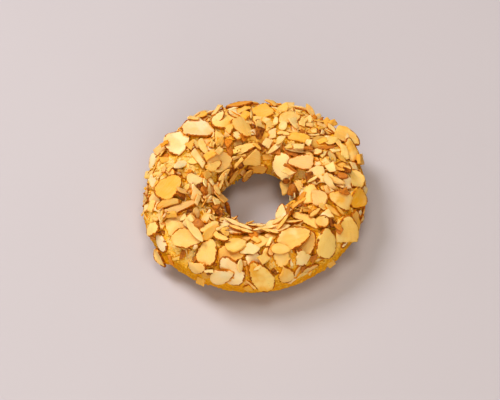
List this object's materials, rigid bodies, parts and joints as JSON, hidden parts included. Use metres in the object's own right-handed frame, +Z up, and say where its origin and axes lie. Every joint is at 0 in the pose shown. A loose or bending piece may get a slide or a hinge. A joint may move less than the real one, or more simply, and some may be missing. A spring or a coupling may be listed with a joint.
{
  "type": "almond ring pastry",
  "caption": "Baked ring of golden dough with a hole through its middle, covered on its top and sides with flaked almonds.",
  "frame": {"origin": "middle of the outline, on the surface that the pastry stands on", "axes": "+Z up along the hole's axis; the side that the picture shows at the front faces -Y"},
  "size_m": [0.1076, 0.1072, 0.0298],
  "materials": {
    "baked_dough": "satin",
    "flaked_almond": "satin"
  },
  "bodies": {
    "root": {"pastry_ring": "baked_dough", "almond_flake_01": "flaked_almond", "almond_flake_02": "flaked_almond", "almond_flake_03": "flaked_almond", "almond_flake_04": "flaked_almond", "almond_flake_05": "flaked_almond", "almond_flake_06": "flaked_almond", "almond_flake_07": "flaked_almond", "almond_flake_08": "flaked_almond", "almond_flake_09": "flaked_almond", "almond_flake_10": "flaked_almond", "almond_flake_11": "flaked_almond", "almond_flake_12": "flaked_almond", "almond_flake_13": "flaked_almond", "almond_flake_14": "flaked_almond", "almond_flake_15": "flaked_almond", "almond_flake_16": "flaked_almond", "almond_flake_17": "flaked_almond", "almond_flake_18": "flaked_almond", "almond_flake_19": "flaked_almond", "almond_flake_20": "flaked_almond", "almond_flake_21": "flaked_almond", "almond_flake_22": "flaked_almond", "almond_flake_23": "flaked_almond", "almond_flake_24": "flaked_almond", "almond_flake_25": "flaked_almond", "almond_flake_26": "flaked_almond", "almond_flake_27": "flaked_almond", "almond_flake_28": "flaked_almond", "almond_flake_29": "flaked_almond", "almond_flake_30": "flaked_almond", "almond_flake_31": "flaked_almond", "almond_flake_32": "flaked_almond", "almond_flake_33": "flaked_almond", "almond_flake_34": "flaked_almond", "almond_flake_35": "flaked_almond", "almond_flake_36": "flaked_almond", "almond_flake_37": "flaked_almond", "almond_flake_38": "flaked_almond", "almond_flake_39": "flaked_almond", "almond_flake_40": "flaked_almond", "almond_flake_41": "flaked_almond", "almond_flake_42": "flaked_almond", "almond_flake_43": "flaked_almond", "almond_flake_44": "flaked_almond", "almond_flake_45": "flaked_almond", "almond_flake_46": "flaked_almond", "almond_flake_47": "flaked_almond", "almond_flake_48": "flaked_almond", "almond_flake_49": "flaked_almond", "almond_flake_50": "flaked_almond", "almond_flake_51": "flaked_almond", "almond_flake_52": "flaked_almond", "almond_flake_53": "flaked_almond", "almond_flake_54": "flaked_almond", "almond_flake_55": "flaked_almond", "almond_flake_56": "flaked_almond", "almond_flake_57": "flaked_almond", "almond_flake_58": "flaked_almond", "almond_flake_59": "flaked_almond"}
  },
  "joints": []
}
